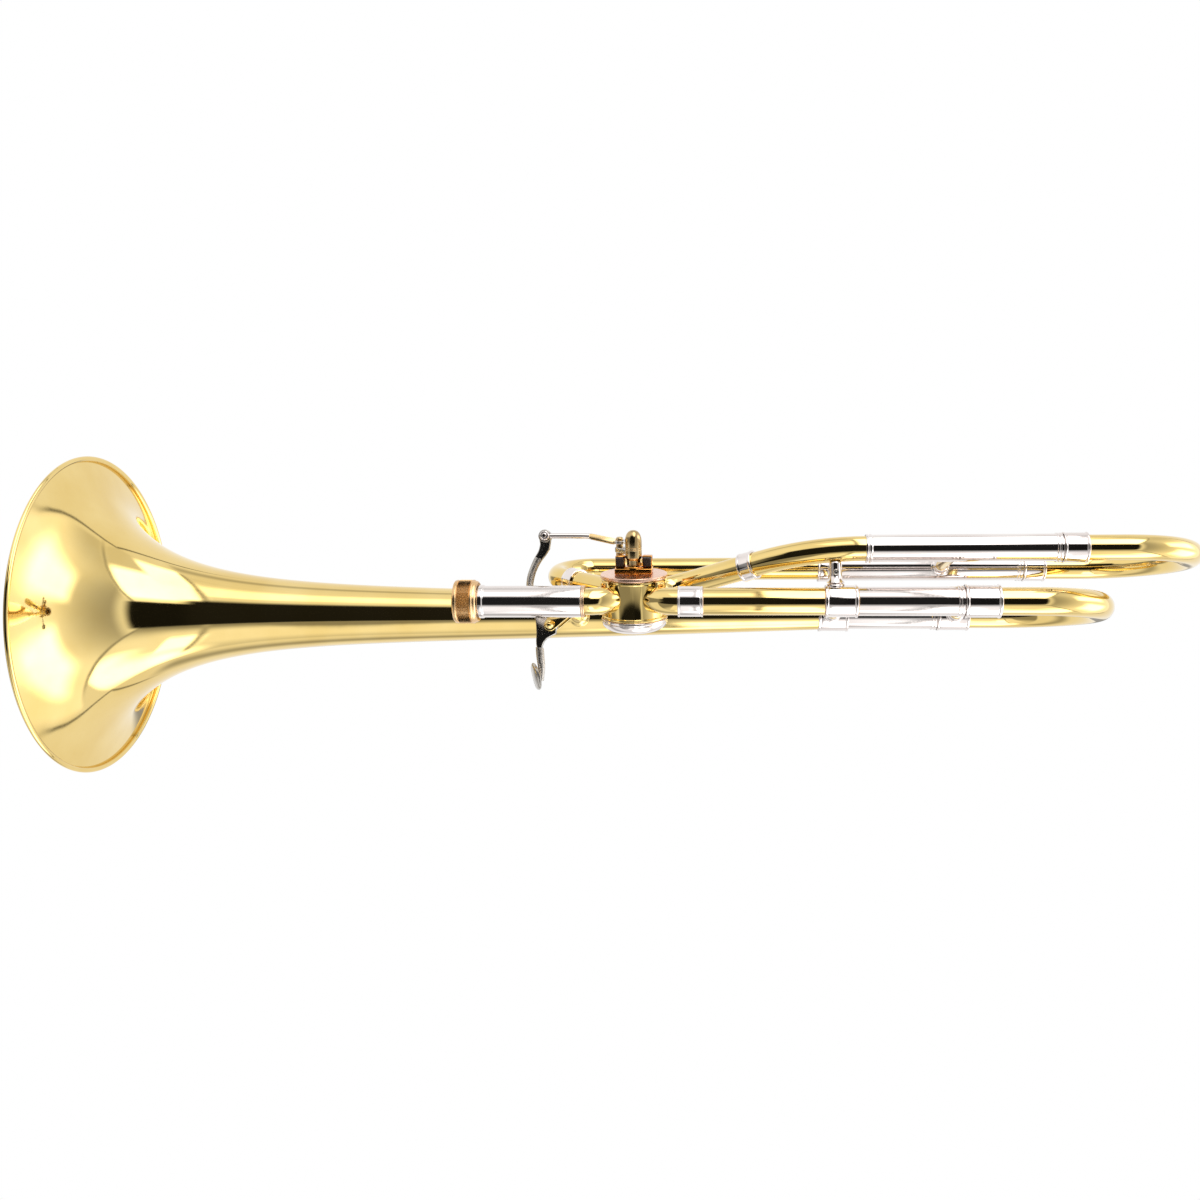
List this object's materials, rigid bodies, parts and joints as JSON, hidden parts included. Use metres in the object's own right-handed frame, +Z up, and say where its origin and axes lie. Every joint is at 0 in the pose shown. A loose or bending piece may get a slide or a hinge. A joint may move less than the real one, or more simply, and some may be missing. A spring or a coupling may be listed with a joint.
{
  "type": "trombone bell section",
  "caption": "Tenor trombone bell section with a rotary thumb valve, an open loop of tubing, two tuning slides and a receiver nut.",
  "frame": {"origin": "on the axis of the slide receiver, at the shoulder its nut turns against", "axes": "+X along the tubes from the bell mouth toward the bows, +Y from the receiver line to the bell line, +Z up toward the stop arm of the valve"},
  "size_m": [0.7067, 0.2189, 0.216],
  "materials": {
    "lacquered_brass": "polished, clear lacquered yellow brass",
    "nickel_silver": "polished nickel silver",
    "rose_bronze": "polished rose bronze",
    "copper_plate": "satin copper coloured plate",
    "orange_brass": "bright orange brass",
    "champagne_brass": "fine turned nickel plated brass",
    "steel": "fine brushed",
    "black_rubber": "matt"
  },
  "bodies": {
    "section": {"bell_ferrule": "nickel_silver", "bell_flare": "lacquered_brass", "bell_rim_wire": "lacquered_brass", "bell_stem": "lacquered_brass", "bell_throat": "lacquered_brass", "body_brace": "lacquered_brass", "bracket_cheek_back": "lacquered_brass", "bracket_cheek_front": "lacquered_brass", "bumper_left": "black_rubber", "bumper_plate": "orange_brass", "bumper_right": "black_rubber", "crook_ferrule": "nickel_silver", "diagonal_ferrule": "nickel_silver", "knuckle_far_left": "lacquered_brass", "knuckle_far_right": "lacquered_brass", "knuckle_near_left": "lacquered_brass", "knuckle_near_right": "lacquered_brass", "lever_pin": "lacquered_brass", "lever_spring": "steel", "loop_crook": "lacquered_brass", "loop_cross_brace": "lacquered_brass", "loop_far_ferrule": "nickel_silver", "loop_near_tube": "lacquered_brass", "loop_outer_far": "nickel_silver", "loop_outer_near": "nickel_silver", "loop_post": "nickel_silver", "lower_bearing": "lacquered_brass", "main_outer_far": "nickel_silver", "main_outer_near": "nickel_silver", "neckpipe": "lacquered_brass", "neckpipe_ferrule_front": "nickel_silver", "neckpipe_ferrule_rear": "nickel_silver", "plate_screw_left": "steel", "plate_screw_right": "steel", "receiver_collar": "rose_bronze", "slide_receiver": "nickel_silver", "tail_brace": "lacquered_brass", "top_bearing": "copper_plate", "valve_cap": "nickel_silver", "valve_casing": "lacquered_brass"},
    "nut": {"slide_nut": "rose_bronze"},
    "valve_rotor": {"rotor": "lacquered_brass", "stop_arm": "champagne_brass", "arm_stud": "steel"},
    "lever": {"lever_arm": "steel", "lever_joint_screw": "nickel_silver", "thumb_paddle": "nickel_silver"},
    "link": {"link_rod": "nickel_silver"},
    "main_slide": {"main_leg_near": "nickel_silver", "main_leg_far": "nickel_silver", "main_ferrule_near": "nickel_silver", "main_ferrule_far": "nickel_silver", "main_bow": "lacquered_brass", "main_slide_brace": "lacquered_brass"},
    "loop_slide": {"loop_leg_near": "nickel_silver", "loop_leg_far": "nickel_silver", "loop_ferrule_near": "nickel_silver", "loop_ferrule_far": "nickel_silver", "loop_bow": "lacquered_brass"}
  },
  "joints": [
    {"name": "nut_turn", "type": "hinge", "parent": "section", "child": "nut", "pos_m": [-0.0074, 0, 0], "axis": [1, 0, 0], "continuous": true},
    {"name": "lever_swing", "type": "hinge", "parent": "section", "child": "lever", "pos_m": [0.0385, 0.02238, -0.0123], "axis": [0, 1, 0], "range_deg": [0, 19], "stiffness_Nm_per_rad": 0.12, "springref_deg": -14.9},
    {"name": "link_turn", "type": "hinge", "parent": "lever", "child": "link", "pos_m": [0.0346, 0.01943, 0.041], "axis": [0, 1, 0], "range_deg": [-21.1, 0]},
    {"name": "valve_turn", "type": "hinge", "parent": "section", "child": "valve_rotor", "pos_m": [0.0885, 0.018, 0.0055], "axis": [0, 0.2924, -0.9563], "range_deg": [0, 90]},
    {"name": "main_slide_draw", "type": "slide", "parent": "section", "child": "main_slide", "axis": [1, 0, 0], "range_m": [0, 0.042]},
    {"name": "loop_slide_draw", "type": "slide", "parent": "section", "child": "loop_slide", "axis": [1, 0, 0], "range_m": [0, 0.08]}
  ],
  "couplings": [
    {"joint": "link_turn", "follows": "lever_swing", "ratio": -1.1094},
    {"joint": "valve_turn", "follows": "lever_swing", "ratio": 4.7346}
  ]
}
